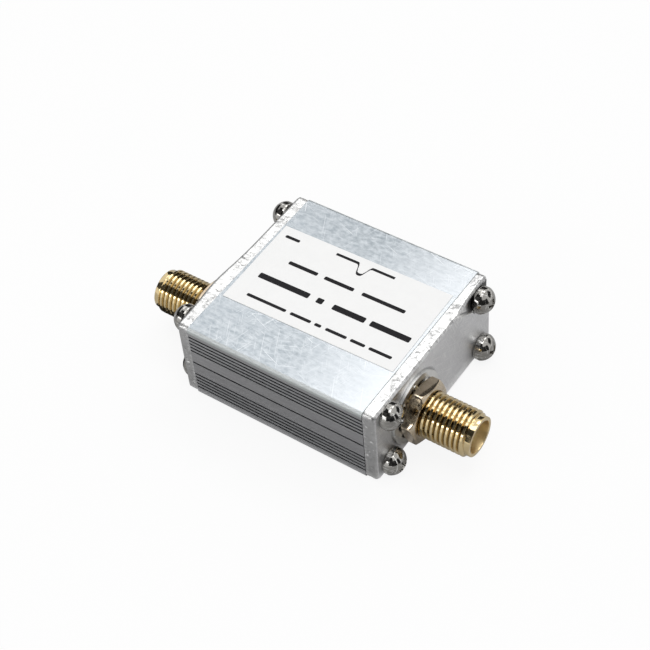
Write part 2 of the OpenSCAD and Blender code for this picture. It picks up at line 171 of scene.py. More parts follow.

# lit from above: 1 where a surface looks up, 0 where it stands upright; it paints faces that look up lighter
# than upright ones
lit_from_above, given = start_group(
    "lit from above",
    [("Low", "NodeSocketFloat", 0.2), ("High", "NodeSocketFloat", 0.8)],
    "Mask",
)
outward = put(lit_from_above, "ShaderNodeNewGeometry").outputs["True Normal"]
upward = put(lit_from_above, "ShaderNodeSeparateXYZ", {0: outward}).outputs[2]
end_group(lit_from_above, spread(lit_from_above, upward, given["Low"], given["High"]))


def placed(tree, group, **inputs):
    """a shared effect set into a material with its own values"""
    made = put(tree, "ShaderNodeGroup", node_tree=group)
    for name, value in inputs.items():
        made.inputs[name].default_value = value
    return made.outputs[0]


def start_material(name, metallic, **plain):
    """a new material with its shader, and plain numbers on the shader's own sockets"""
    material = bpy.data.materials.new(name)
    material.use_nodes = True
    shader = material.node_tree.nodes["Principled BSDF"]
    shader.inputs["Metallic"].default_value = metallic
    for socket, value in plain.items():
        shader.inputs[socket.replace("_", " ")].default_value = value
    return material, material.node_tree, shader


def surface(tree, shader, colour, roughness, height=None, depth=0.00002, strength=1.0):
    """feeds the shader's colour and roughness, and its normal from a height"""
    tree.links.new(colour, shader.inputs["Base Color"])
    tree.links.new(roughness, shader.inputs["Roughness"])
    if height is not None:
        bump = put(tree, "ShaderNodeBump", {"Height": height, "Distance": depth, "Strength": strength})
        tree.links.new(bump.outputs["Normal"], shader.inputs["Normal"])


def dress(node, material):
    """gives a CAD node that keeps its shape a finished material"""
    frame["nodes"][node].material_slots[0].material = material


drawn, tree, shader = start_material("drawn aluminium", 1.0)
mottle = placed(tree, uneven, Density=(1000, 1700, 1700), Contrast=3.0, Detail=6.0)
patches = placed(tree, uneven, Density=(70, 90, 90), Contrast=2.0, Detail=2.0, Start=4.0)
lines = placed(tree, uneven, Density=(120, 3200, 3200), Contrast=2.4, Detail=5.0)
short = placed(tree, scratches, Length=0.0026, Width=0.0001, Threshold=0.745, Start=2.0)
long = placed(tree, scratches, Length=0.006, Width=0.00012, Threshold=0.79, Start=11.0)
handled = placed(tree, uneven, Density=(110, 110, 110), Contrast=3.0, Detail=1.0, Start=17.0)
scored = reckon(tree, "MAXIMUM", reckon(tree, "MULTIPLY", short, handled), long)
# painted light: the top has its own scratched finish and is painted lighter than the upright flanks, as light
# falls from above
top = placed(tree, lit_from_above)
skin = between(tree, mottle, (0.22, 0.26, 0.29), (0.59, 0.63, 0.66))
skin = between(tree, spread(tree, patches, 0, 1, 0, 0.35), skin, (0.54, 0.58, 0.62))
skin = between(tree, spread(tree, lines, 0, 1, 0, 0.3), skin, (0.68, 0.71, 0.74))
skin = between(tree, spread(tree, scored, 0, 1, 0, 0.7), skin, (0.90, 0.92, 0.94))
# painted sheen on the top, growing towards the right
top_sheen = spread(tree, object_place(tree, 0), top_sheen_from, top_sheen_to, 0, 0.6)
skin = between(tree, top_sheen, skin, (0.86, 0.89, 0.92))
flank = between(tree, lines, (0.30, 0.30, 0.31), (0.47, 0.47, 0.48))
flank = between(tree, mottle, flank, (0.40, 0.40, 0.41))
from_middle = reckon(tree, "ABSOLUTE", object_place(tree, 1))
# painted shade: inside the grooves the flank is painted nearly black
flank = between(tree, spread(tree, from_middle, *groove_shade_depths), (0.05, 0.05, 0.05), flank)
height = object_place(tree, 2)
# painted highlight: just below the top the flank is painted pale, where its rounded corner catches the light
flank = between(tree, spread(tree, height, *flank_sheen_heights), flank, (0.60, 0.64, 0.63))
# painted highlight along the long top edges, which are also made a little rougher
edge_highlight = spread(tree, from_middle, *edge_highlight_depths)
edge_highlight = reckon(tree, "MULTIPLY", spread(tree, height, *edge_highlight_heights), edge_highlight)
colour = between(tree, edge_highlight, between(tree, top, flank, skin), (0.82, 0.85, 0.85))
satin = reckon(tree, "MULTIPLY_ADD", edge_highlight, 0.25, spread(tree, mottle, 0, 1, 0.30, 0.46))
surface(tree, shader, colour, satin, lines, 0.000006, 0.5)
dress("housing", drawn)

# End plates
# Two plates sawn from flat bar, with rough bright edges and a bevel round the outer face.
# A blow has drawn the upper back corner of the right one in along a sloping crease.
plate_half, plate_low, plate_high = 14.15, 0.05, 12.95
plate_back, plate_face, plate_bevel, plate_corner_r = 13.6, 15.4, 0.35, 0.7
back_bevel = 0.07
jack_y, jack_z, jack_hole_r, screw_hole_r = -5.1, 6.1, 3.275, 1.1
screw_places = [(y, z) for z in (1.9, 11.1) for y in (-11.3, 11.3)]

# the dent, its crease and the bed that the head of its screw has pressed
dent_depth, dent_r, dent_turn, dent_reach = 0.45, 13.0, math.radians(36.6), 1.8
across = Vector((math.sin(dent_turn), math.cos(dent_turn)))
along = Vector((math.cos(dent_turn), -math.sin(dent_turn)))
dent_line = Vector((14.2, 13.0)) - across * dent_reach
crease = -math.sqrt(2 * dent_r * dent_depth - dent_depth**2)
crease_bow, bow_half, ridge_high, ridge_half = 0.2, 5, 0.1, 0.18
dented_head, bed_r, bed_depth = screw_places[3], 2.02, 0.2

# the lean of the left plate: how far, how wide, and from where it rises
lip_out, lip_half, lip_from, lip_rise = 0.45, 4.5, 11.2, 1.4

# where along X the sawn edge starts to follow the face, and gets bright, dull on the left plate,
# and torn, and where across and up the right plate its corner is mottled
lean_from, lean_rise = 14.0, 1.05
edge_bright_from, edge_dull_from, edge_torn_from = 14.1, 14.9, 15
mottled_from, mottled_rise, mottled_above = 11.2, 0.6, 12

# how deep the saw tore the edge, and how many such marks lie on a millimetre
saw_least, tear_deep, tear_above, tear_dense = 0.01, 0.30, 0.30, 2.3
coarse_deep, coarse_dense, fine_deep, fine_dense = 0.014, 4.3, 0.012, 9.7

# marks on the outer face, painted light and shade: painted shade round the washer, a painted highlight along
# the crease and over the dent, painted shade beside the crease and round the dented screw head; the line
# along them and half their width, or where they start and end
washer_r, washer_shade, washer_shade_wide = 5.25, 0.6, 0.4
highlight_from, highlight_line, highlight_half, highlight_off_head, highlight_rise = -3.7, -3.47, 0.2, 3.4, 1.2
shade_from, shade_line, shade_half, shade_to_head, shade_fall = -3.3, -3.1, 0.16, 3.5, 0.8


def unit(value):
    """a value held between 0 and 1"""
    return min(1, max(0, value))


def bow_at(run):
    """how far the crease bows inwards at a distance along it"""
    return crease_bow * max(0, 1 - (run / bow_half) ** 2)


def dent_place(y, z):
    """distance from the deepest line of the bowed dent, towards the corner"""
    from_line = Vector((y, z)) - dent_line
    return from_line.dot(across) - bow_at(from_line.dot(along))


def from_dented_head(y, z):
    """distance from the middle of the screw head in the dent"""
    return math.hypot(y - dented_head[0], z - dented_head[1])


def face_drop(y, z):
    """how far the outer face of the dented plate lies behind a flat one"""
    reach = dent_place(y, z)
    drop = max(0, dent_depth - dent_r + math.sqrt(dent_r**2 - reach**2)) if reach > crease else 0
    if abs(reach - crease) < ridge_half:
        drop -= ridge_high * (1 - abs(reach - crease) / ridge_half)
    if from_dented_head(y, z) < bed_r:
        drop = max(drop, bed_depth)
    return drop


def lip(y, z):
    """how far the upper edge of the other plate leans out above its nut"""
    return lip_out * math.exp(-((y - jack_y) / lip_half) ** 2) * unit((z - lip_from) / lip_rise) ** 2


def round_outline():
    """points round a plate's outline with the directions that face outwards there"""
    points = []
    middle = (plate_low + plate_high) / 2
    half = (plate_high - plate_low) / 2 - plate_corner_r
    corners = [(plate_half - plate_corner_r, half), (plate_corner_r - plate_half, half),
               (plate_corner_r - plate_half, -half), (plate_half - plate_corner_r, -half)]
    for quarter, (y, z) in enumerate(corners):
        for step in range(9):
            angle = (quarter + step / 8) * math.pi / 2
            out = Vector((math.cos(angle), math.sin(angle)))
            points.append((Vector((y, middle + z)) + out * plate_corner_r, out))
        last, out = points[-1]
        y, z = corners[(quarter + 1) % 4]
        run = Vector((y, middle + z)) + out * plate_corner_r - last
        count = round(run.length / 0.15)
        points += [(last + run * step / count, out) for step in range(1, count)]
    return points


def circle(y, z, r, count):
    """points round a hole"""
    turns = [2 * math.pi * step / count for step in range(count)]
    return [Vector((y + r * math.cos(turn), z + r * math.sin(turn))) for turn in turns]


def sawn_in(x, y, z):
    """how far the saw has torn the edge of a plate at a point"""
    point = Vector((x, y, z))
    tear = max(0, noise.noise(point * tear_dense) - tear_above) * tear_deep
    coarse = coarse_deep * noise.noise(point * coarse_dense)
    return saw_least + tear + coarse + fine_deep * noise.noise(point * fine_dense)


def edge_wear(side, x, y, z, rough):
    """how bright the saw left the edge of a plate at a point, and how dark it is there: dirt on the right
    plate's upper back corner, darker towards the outer face of the left plate; None where neither
    """
    ragged = 0.3 * noise.noise(Vector((x * 1.5, y * 2.5, z * 2.5))) if x > edge_torn_from else 0
    patchy = 0.8 * noise.noise(Vector((x * 3, y * 3.5, z * 3.5)))
    soil_and_shade = None
    if side < 0 and x > edge_dull_from:
        bright = 0.2
        soil_and_shade = 0.6 + ragged
    elif side > 0 and y > mottled_from and z > mottled_above:
        bright = 0.35 + 1.3 * patchy
        soil_and_shade = max(0, 0.35 + 0.9 * noise.noise(Vector((x * 2.4, y * 2.4, z))))
        soil_and_shade *= min(1, (y - mottled_from) / mottled_rise)
    else:
        bright = 1.6 if x > edge_bright_from else 0.9 + patchy
    return unit(rough * bright + ragged), soil_and_shade


def join_rings(shape, rings):
    """a wall of faces from each ring of points to the next"""
    for low, high in zip(rings, rings[1:]):
        for k in range(len(low)):
            after = (k + 1) % len(low)
            shape.faces.new((low[k], low[after], high[after], high[k]))


def plate_shape(side):
    """one end plate: outer face with its holes, torn edges, inner face and hole walls"""
    shape = bmesh.new()
    sawn = shape.verts.layers.float.new("sawn")
    dent_highlight = shape.verts.layers.float.new("dent_highlight")
    soiled_and_shaded = shape.verts.layers.float.new("soiled_and_shaded")
    outline = round_outline()
    holes = [(jack_y, jack_z, jack_hole_r, 64)] + [(y, z, screw_hole_r, 24) for y, z in screw_places]

    def drop_at(y, z):
        return face_drop(y, z) if side > 0 else -lip(y, z)

    def add(x, y, z, worn):
        vert = shape.verts.new((side * x, y, z))
        vert[sawn] = worn
        # painted shade round the rim of the washer
        if x > edge_torn_from:
            past_washer = math.hypot(y - jack_y, z - jack_z) - washer_r
            if past_washer > -0.1:
                vert[soiled_and_shaded] = washer_shade * max(0, 1 - past_washer / washer_shade_wide)
        reach, from_head = dent_place(y, z), from_dented_head(y, z)
        # painted highlight along the crease and over the dent away from its screw head
        if side > 0 and x > edge_torn_from - dent_depth and reach > highlight_from:
            on_crease = 1 - abs(reach - highlight_line) / highlight_half
            vert[dent_highlight] = max(0, on_crease, unit((from_head - highlight_off_head) / highlight_rise))
            # painted shade just above the crease and round the dented screw head
            if reach > shade_from:
                by_crease = 1 - abs(reach - shade_line) / shade_half
                vert[soiled_and_shaded] = max(0, by_crease, min(1, (shade_to_head - from_head) / shade_fall))
        return vert

    def flat(inset, x_at, extra):
        """a face with its holes, from the outline, the hole rims and points between them"""
        loops = [[point - out * inset for point, out in outline]]
        loops += [circle(y, z, r, count) for y, z, r, count in holes]
        points, edges = [], []
        for loop in loops:
            start = len(points)
            points += loop
            edges += [(start + k, start + (k + 1) % len(loop)) for k in range(len(loop))]
        found = geometry.delaunay_2d_cdt(points + extra, edges, [], 0, 0.001)
        verts = [add(x_at(*point), *point, 0) for point in found[0]]
        for face in found[2]:
            y, z = sum((found[0][k] for k in face), Vector((0, 0))) / len(face)
            if all(math.hypot(y - a, z - b) > r * 0.995 for a, b, r, count in holes):
                shape.faces.new([verts[k] for k in face])

    # points of the outer face: rows along the crease, rings round head and washer, and a grid
    inner = []
    if side > 0:
        for reach in (-3.7, -3.55, -3.47, -3.39, -3.31, -3.23, -3.16, -3.08, -2.9, -2.5, -2.0, -1.4, -0.8,
                      -0.2, 0.4, 1.0):
            for step in range(-30, 31):
                run = step * 0.25
                inner.append(dent_line + along * run + across * (reach + bow_at(run)))
        inner += circle(*dented_head, bed_r - 0.02, 48) + circle(*dented_head, bed_r + 0.02, 48)
    for past in (-0.1, 0, 0.2, 0.4):
        inner += circle(jack_y, jack_z, washer_r + past, 96)
    grid = 0.75
    inner += [Vector((-13.5 + grid * a + 0.2 * (b % 2), 0.7 + grid * b))
              for a in range(37) for b in range(17)]
    inner = [p for p in inner if abs(p[0]) < plate_half - 0.45 and 0.5 < p[1] < plate_high - 0.45
             and all(math.hypot(p[0] - y, p[1] - z) > r + 0.05 for y, z, r, count in holes)]
    flat(plate_bevel, lambda y, z: plate_face - drop_at(y, z), inner)
    flat(back_bevel, lambda y, z: plate_back, [])

    # rings of the sawn edge: place along X, distance inside the outline, share of the torn depth
    rings = [(plate_back, back_bevel, 0), (13.66, 0, 0.5)] + [(13.8 + 0.15 * k, 0, 1) for k in range(9)]
    rings += [(15.08, 0.02, 0.9), (15.16, 0.09, 0.8), (15.24, 0.18, 0.6), (15.32, 0.27, 0.4)]
    rings.append((plate_face, plate_bevel, 0))
    walls = []
    for x, inset, rough in rings:
        ring = []
        for point, out in outline:
            y, z = point - out * (inset + rough * sawn_in(x + 40 * side, *point))
            back = drop_at(*(point - out * plate_bevel)) * unit((x - lean_from) / lean_rise)
            worn, soil_and_shade = edge_wear(side, x, y, z, rough)
            ring.append(add(x - back, y, z, worn))
            if soil_and_shade is not None:
                ring[-1][soiled_and_shaded] = soil_and_shade
        walls.append(ring)
    join_rings(shape, walls)
    for y, z, r, count in holes:
        low = [add(plate_back, *point, 0) for point in circle(y, z, r, count)]
        high = [add(plate_face - drop_at(*point), *point, 0) for point in circle(y, z, r, count)]
        join_rings(shape, (low, high))
    return shape


def crisp(shape, angle):
    """smooth faces, with crisp edges where they turn by more than the angle"""
    for face in shape.faces:
        face.smooth = True
    for edge in shape.edges:
        edge.smooth = len(edge.link_faces) != 2 or edge.calc_face_angle() < math.radians(angle)


def hand_over(name, mesh, replaced):
    """makes a finished mesh in metres a piece of the frame, in place of its CAD node"""
    piece = bpy.data.objects.new(name, mesh)
    scene.collection.objects.link(piece)
    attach(piece, "root")
    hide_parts(*replaced)
    return piece


def finish(name, shape, metal, slot, *replaced, sharp=35):
    """scales a shape to metres, shades it and hands it to the frame"""
    bmesh.ops.remove_doubles(shape, verts=shape.verts, dist=0.0008)
    bmesh.ops.dissolve_degenerate(shape, edges=shape.edges, dist=0.0004)
    bmesh.ops.recalc_face_normals(shape, faces=shape.faces)
    shape.normal_update()
    crisp(shape, sharp)
    bmesh.ops.scale(shape, vec=(mm, mm, mm), verts=shape.verts)
    mesh = bpy.data.meshes.new(name)
    shape.to_mesh(mesh)
    shape.free()
    mesh.materials.append(metal)
    return hand_over(name, mesh, replaced)


sawn_plate, tree, shader = start_material("sawn plate", 1.0)
satin = placed(tree, uneven, Density=(900, 900, 900), Contrast=1.6, Detail=5.0)
cloudy = placed(tree, uneven, Density=(150, 150, 150), Contrast=1.8, Detail=2.0, Start=9.0)
speck = placed(tree, uneven, Density=(2600, 2600, 2600), Contrast=5.0, Detail=4.0, Start=3.0)
smear = placed(tree, uneven, Density=(500, 900, 900), Contrast=4.0, Detail=2.0, Start=6.0)
rubbed = placed(tree, scratches, Turn=(0, math.radians(90), 0), Length=0.002, Width=0.0001,
                Threshold=0.69, Start=5.0)
edge_worn = put(tree, "ShaderNodeAttribute", attribute_name="sawn").outputs["Fac"]
painted_dent_highlight = put(tree, "ShaderNodeAttribute", attribute_name="dent_highlight").outputs["Fac"]
soiling_and_shade = put(tree, "ShaderNodeAttribute", attribute_name="soiled_and_shaded").outputs["Fac"]
face_colour = between(tree, cloudy, (0.64, 0.64, 0.65), (0.88, 0.88, 0.89))
face_colour = between(tree, spread(tree, satin, 0, 1, 0, 0.7), face_colour, (0.70, 0.70, 0.71))
face_colour = between(tree, rubbed, face_colour, (0.86, 0.86, 0.86))
# painted highlight on the crease and the dent
face_colour = between(tree, painted_dent_highlight, face_colour, (0.95, 0.95, 0.94))
# painted shade round the washer, beside the crease and round the dented head, with dirt on the right plate's
# upper back corner and a darker outer rim on the left plate's edge
face_colour = between(tree, soiling_and_shade, face_colour, (0.10, 0.10, 0.10))
# painted light: the sawn edges are painted lighter where they face up than where they stand upright
upper = placed(tree, lit_from_above, Low=0.3, High=0.7)
edge_colour = between(tree, upper, (0.50, 0.50, 0.50), (0.96, 0.96, 0.95))
edge_colour = between(tree, reckon(tree, "MULTIPLY", speck, smear), edge_colour, (0.40, 0.40, 0.40))
colour = between(tree, edge_worn, face_colour, edge_colour)
surface(tree, shader, colour, spread(tree, satin, 0, 1, 0.34, 0.5), satin, 0.00001, 0.35)
for side, word in ((1, "right"), (-1, "left")):
    finish(f"{word}_plate", plate_shape(side), sawn_plate, "plate", f"{word}_end_plate")

# Plate screws
# Eight pan head screws of steel with bright nickel plate, two millimetre thread, cross recess.
# They hold the plates to the channels of the housing, and each stops where it came tight.
head_r, head_base_r, head_h, head_flare, head_wall = 1.93, 1.79, 2.3, 0.35, 0.9
shank_length, shank_r, shank_root_r, shank_tip_r = 6, 0.98, 0.8, 0.75
shank_pitch, shank_turns, head_edge = 0.4, 13, 0.03
cross_length, cross_width, cross_depth = 2.0, 0.42, 0.9
cross_turns = {1: (20, 62, 35, 75), -1: (48, 10, 66, 28)}


def revolve(profile, count):
    """turns (x, r) points round the X axis into a shell that starts and ends on it"""
    shape = bmesh.new()
    rings = []
    for x, r in profile:
        if r == 0:
            rings.append([shape.verts.new((x, 0, 0))])
        else:
            rings.append([shape.verts.new((x, p[0], p[1])) for p in circle(0, 0, r, count)])
    for low, high in zip(rings, rings[1:]):
        for k in range(count):
            after = (k + 1) % count
            corners = low[k % len(low)], low[after % len(low)], high[after % len(high)], high[k % len(high)]
            shape.faces.new(dict.fromkeys(corners))
    bmesh.ops.recalc_face_normals(shape, faces=shape.faces)
    return shape


def to_object(name, shape):
    """a working object for a modifier, not yet a piece"""
    mesh = bpy.data.meshes.new(name)
    shape.to_mesh(mesh)
    shape.free()
    made = bpy.data.objects.new(name, mesh)
    scene.collection.objects.link(made)
    return made


def applied(made):
    """the mesh of a working object after its modifiers, which takes the object away"""
    bpy.context.view_layer.update()
    mesh = bpy.data.meshes.new_from_object(made.evaluated_get(bpy.context.evaluated_depsgraph_get()))
    bpy.data.objects.remove(made)
    return mesh


def cross_arm(turn):
    """one arm of the driver's tip, which narrows towards its end"""
    arm = bmesh.new()
    for x, half_length, half_width in (
            (head_h + 0.2, cross_length / 2 + 0.1, cross_width / 2 + 0.04),
            (head_h - cross_depth, cross_length / 4, cross_width / 2 - 0.06)):
        for y in (-half_length, half_length):
            for z in (-half_width, half_width):
                arm.verts.new((x, y, z))
    bmesh.ops.convex_hull(arm, input=arm.verts)
    bmesh.ops.recalc_face_normals(arm, faces=arm.faces)
    bmesh.ops.rotate(arm, verts=arm.verts, matrix=Matrix.Rotation(turn, 3, "X"))
    return to_object("arm", arm)


dome_r = (head_r**2 + (head_h - head_wall) ** 2) / (2 * (head_h - head_wall))
dome_turn = math.asin(head_r / dome_r)
profile = [(-shank_length, 0), (-shank_length, shank_tip_r), (0.2 - shank_length, shank_r)]
for number in range(shank_turns):
    crest = 0.4 - shank_length + shank_pitch * number
    profile += [(crest, shank_r), (crest + shank_pitch / 2, shank_root_r)]
profile += [(0, shank_r), (0, head_base_r - 0.04), (head_edge, head_base_r)]
for step in range(1, 7):
    turn = step / 6 * math.pi / 2
    profile.append((head_flare * step / 6, head_base_r + (head_r - head_base_r) * math.sin(turn)))
profile.append((head_wall - 0.12, head_r))
for step in range(18, -1, -1):
    turn = dome_turn * step / 18
    profile.append((head_h - dome_r + dome_r * math.cos(turn), dome_r * math.sin(turn)))
profile[-1] = (head_h, 0)
screw = to_object("screw", revolve(profile, 64))
arms = [cross_arm(0), cross_arm(math.pi / 2)]
for arm in arms:
    cutter = screw.modifiers.new("cross", "BOOLEAN")
    cutter.operation, cutter.object, cutter.solver = "DIFFERENCE", arm, "EXACT"
softened = screw.modifiers.new("edges", "BEVEL")
softened.width, softened.segments, softened.limit_method = head_edge, 2, "ANGLE"
softened.angle_limit = math.radians(50)
screw = bpy.data.objects.new("screw", applied(screw))
for arm in arms:
    bpy.data.objects.remove(arm)

# the tree sets one screw on each point, turned by the point's own value
screwing = bpy.data.node_groups.new("screws in a plate", "GeometryNodeTree")
sockets = {}
for label, kind in (("Points", "Geometry"), ("Screw", "Object"), ("Facing", "Float"), ("Size", "Float"),
                    ("Metal", "Material")):
    socket = screwing.interface.new_socket(label, in_out="INPUT", socket_type="NodeSocket" + kind)
    sockets[label] = socket.identifier
screwing.interface.new_socket("Screws", in_out="OUTPUT", socket_type="NodeSocketGeometry")
given = screwing.nodes.new("NodeGroupInput").outputs
one = put(screwing, "GeometryNodeObjectInfo", {"Object": given["Screw"]}).outputs["Geometry"]
turned = put(screwing, "GeometryNodeInputNamedAttribute", {"Name": "turn"}, data_type="FLOAT")
facing = put(screwing, "ShaderNodeCombineXYZ", {"X": turned.outputs["Attribute"], "Z": given["Facing"]})
facing = put(screwing, "FunctionNodeEulerToRotation", {0: facing.outputs[0]}).outputs[0]
placed_screws = put(screwing, "GeometryNodeInstanceOnPoints",
                    {"Points": given["Points"], "Instance": one, "Rotation": facing, "Scale": given["Size"]})
real = put(screwing, "GeometryNodeRealizeInstances", {0: placed_screws.outputs[0]}).outputs[0]
real = put(screwing, "GeometryNodeSetMaterial", {"Geometry": real, "Material": given["Metal"]}).outputs[0]
screwing.links.new(real, screwing.nodes.new("NodeGroupOutput").inputs[0])

nickel, tree, shader = start_material("bright nickel", 1.0)
tarnish = placed(tree, uneven, Density=(600, 600, 600), Contrast=2.0, Detail=4.0)
nicks = placed(tree, scratches, Turn=(0, math.radians(90), 0), Length=0.0015, Width=0.00007,
               Threshold=0.74, Start=8.0)
tone = between(tree, tarnish, (0.42, 0.41, 0.385), (0.27, 0.26, 0.245))
tone = between(tree, nicks, tone, (0.92, 0.92, 0.90))
surface(tree, shader, tone, spread(tree, tarnish, 0, 1, 0.05, 0.13), tarnish, 0.000004, 0.3)


def finish_mesh(name, mesh, slot, *replaced, sharp=35):
    """hands a finished mesh in metres to the frame"""
    mesh.name = name
    shape = bmesh.new()
    shape.from_mesh(mesh)
    crisp(shape, sharp)
    shape.to_mesh(mesh)
    shape.free()
    hand_over(name, mesh, replaced)


for side, word in ((1, "right"), (-1, "left")):
    points = bmesh.new()
    turns = points.verts.layers.float.new("turn")
    for place, turn in zip(screw_places, cross_turns[side]):
        seat = plate_face - (bed_depth if side > 0 and place == dented_head else 0)
        vert = points.verts.new((side * seat * mm, place[0] * mm, place[1] * mm))
        vert[turns] = math.radians(turn * side)
    carrier = to_object("carrier", points)
    spots = carrier.modifiers.new("screws", "NODES")
    spots.node_group = screwing
    spots[sockets["Screw"]] = screw
    spots[sockets["Facing"]] = 0.0 if side > 0 else math.pi
    spots[sockets["Size"]] = mm
    spots[sockets["Metal"]] = nickel
    finish_mesh(f"{word}_screws", applied(carrier), "screw", f"{word}_plate_screws")
bpy.data.objects.remove(screw)

# Jacks
# Brass turned and threaded 36 to the inch, bright gold plate, with a plain lead-in at the mouth.
# The square base and four legs behind the plate are one piece with the barrel.
barrel_r, pitch_r, thread_pitch, thread_depth = 3.175, 2.946, 0.7056, 0.38
base_face, nut_face, free_from, thread_to, lead_from, barrel_end = 15.0, 15.9, 17.9, 24.15, 24.45, 25.15
lead_r, mouth_r, bore_r, insulator_face, outer_round, mouth_round = 2.8, 2.3, 2.07, 23.2, 0.06, 0.08
# one turn of the thread: share of the pitch, and depth below the crest
thread_form = [(0, 0), (0.13, 0), (0.26, 0), (0.38, 0), (0.40, 0.015), (0.42, 0.045), (0.61, 0.335),
               (0.64, 0.37), (0.69, thread_depth), (0.74, 0.37), (0.77, 0.335), (0.96, 0.045), (0.98, 0.015)]


def barrel_shape():
    """the barrel from inside the plate to its mouth, its thread a right-handed helix"""
    shape = bmesh.new()
    root = shape.verts.layers.float.new("root")
    bored = shape.verts.layers.float.new("bored")
    count = 96
    rows = []
    turns = math.ceil((lead_from - free_from) / thread_pitch) + 1
    for number in range(-1, turns):
        for part, depth in thread_form:
            row = []
            for k in range(count):
                turn = k / count
                x = free_from + (number + part + turn) * thread_pitch
                x = min(max(x, free_from), lead_from)
                limit = barrel_r - max(0, (x - thread_to) / (lead_from - thread_to)) * (barrel_r - lead_r)
                r = lead_r if x == lead_from else min(barrel_r - depth, limit)
                angle = turn * 2 * math.pi
                row.append(shape.verts.new((x, r * math.cos(angle), r * math.sin(angle))))
                row[-1][root] = depth / thread_depth if free_from < x < thread_to else 0
            rows.append(row)
    pitch_rows = len(thread_form)
    for step in range(len(rows) - 1):
        for k in range(count):
            low, high = rows[step], rows[step + 1]
            if k < count - 1:
                corners = (low[k], low[k + 1], high[k + 1], high[k])
            else:
                over = [rows[min(step + ahead + pitch_rows, len(rows) - 1)][0] for ahead in (0, 1)]
                corners = (low[k], over[0], over[1], high[k])
            if len(set(corners)) == 4:
                shape.faces.new(corners)
    profile = [(lead_from, lead_r), (barrel_end - outer_round, lead_r),
               (barrel_end - outer_round / 4, lead_r - outer_round / 3), (barrel_end, lead_r - outer_round),
               (barrel_end, mouth_r + mouth_round), (barrel_end - mouth_round / 4, mouth_r + mouth_round / 4),
               (barrel_end - mouth_round, mouth_r), (insulator_face, mouth_r), (insulator_face, bore_r),
               (base_face, bore_r), (base_face, barrel_r), (nut_face, barrel_r), (nut_face, pitch_r),
               (free_from, pitch_r), (free_from, barrel_r - 0.02)]
    rings = [[shape.verts.new((x, p[0], p[1])) for p in circle(0, 0, r, count)] for x, r in profile]
    for ring, (x, r) in zip(rings, profile):
        for vert in ring:
            vert[bored] = 1 if r <= mouth_r and x < barrel_end - mouth_round / 2 else 0
    join_rings(shape, rings)
    return shape


def to_side(shape, side):
    """sets a piece that is drawn round the X axis on the axis of one jack"""
    if side < 0:
        bmesh.ops.rotate(shape, verts=shape.verts, matrix=Matrix.Rotation(math.pi, 3, "Z"))
    bmesh.ops.translate(shape, verts=shape.verts, vec=(0, jack_y, jack_z))
    return shape


gold, tree, shader = start_material("gold plated brass", 1.0)
turned_lines = placed(tree, uneven, Density=(9000, 60, 60), Contrast=1.6, Detail=2.0)
worn = placed(tree, uneven, Density=(700, 700, 700), Contrast=2.0, Detail=4.0, Start=5.0)
# tarnish and painted shade darken the roots of the thread, by how deep each point lies in it
root_tarnish_and_shade = put(tree, "ShaderNodeAttribute", attribute_name="root").outputs["Fac"]
root_tarnish_and_shade = spread(tree, root_tarnish_and_shade, 0.35, 1, 0, 0.65)
in_bore = put(tree, "ShaderNodeAttribute", attribute_name="bored").outputs["Fac"]
tone = between(tree, worn, (0.80, 0.65, 0.38), (0.66, 0.52, 0.29))
tone = between(tree, root_tarnish_and_shade, tone, (0.10, 0.06, 0.02))
polish = reckon(tree, "MULTIPLY_ADD", in_bore, 0.3, spread(tree, worn, 0, 1, 0.06, 0.14))
surface(tree, shader, tone, polish, turned_lines, 0.000002, 0.15)
for side, word in ((1, "right"), (-1, "left")):
    body = to_side(barrel_shape(), side)
    # behind the plate the piece keeps the CAD node's own base and legs
    base = bmesh.new()
    base.from_mesh(frame["nodes"][f"{word}_jack_body"].data)
    bmesh.ops.scale(base, vec=(1 / mm, 1 / mm, 1 / mm), verts=base.verts)
    bmesh.ops.remove_doubles(base, verts=base.verts, dist=0.001)
    bmesh.ops.bisect_plane(base, geom=base.verts[:] + base.edges[:] + base.faces[:],
                           plane_co=(base_face * side, 0, 0), plane_no=(side, 0, 0), clear_outer=True)
    bmesh.ops.bridge_loops(base, edges=[edge for edge in base.edges if edge.is_boundary])
    behind = bpy.data.meshes.new("base")
    base.to_mesh(behind)
    base.free()
    body.from_mesh(behind)
    finish(f"{word}_jack", body, gold, "gold_plate", f"{word}_jack_body", sharp=30)
    dress(f"{word}_centre_contact", gold)

# Insulators
# White fluoroplastic rods pressed into the barrels, waxy and slightly see-through. Each holds
# the centre contact of its jack clear of the barrel.


def grained(name, metallic, colours, roughness, relief, density, contrast, detail, start=0.0, **plain):
    """a material whose colour, roughness and relief all follow one uneven finish"""
    material, tree, shader = start_material(name, metallic, **plain)
    grain = placed(tree, uneven, Density=density, Contrast=contrast, Detail=detail, Start=start)
    dullness = spread(tree, grain, 0, 1, *roughness)
    surface(tree, shader, between(tree, grain, *colours), dullness, grain, *relief)
    return material


waxy = grained("white fluoroplastic", 0.0, ((0.90, 0.90, 0.86), (0.80, 0.80, 0.76)), (0.38, 0.5),
               (0.00001, 0.3), (1500, 1500, 1500), 1.5, 3.0, Subsurface_Weight=0.15, Subsurface_Scale=0.0005)
for word in ("right", "left"):
    dress(f"{word}_insulator", waxy)

# Nuts
# Hexagon nuts eight millimetres across the flats, chamfered at thirty degrees on both faces.
# They are turned from brass bar, gold plated, and pull each jack tight against its plate.
nut_from, nut_to, nut_high, flat_half, nut_bore = nut_face, free_from, 2, 4.0, 2.976
chamfer_in, chamfer_blend, corner_cut, corner_swell = 0.12, 0.04, 0.05, 0.2
bore_flare, bore_lead = 0.32, 0.18
nut_turns = {1: math.radians(48), -1: 0.0}
# painted shade darkens the left nut, which lies in its plate's shadow: from where along X, and to where
nut_shade_from, nut_shade_to = -16 * mm, -10 * mm


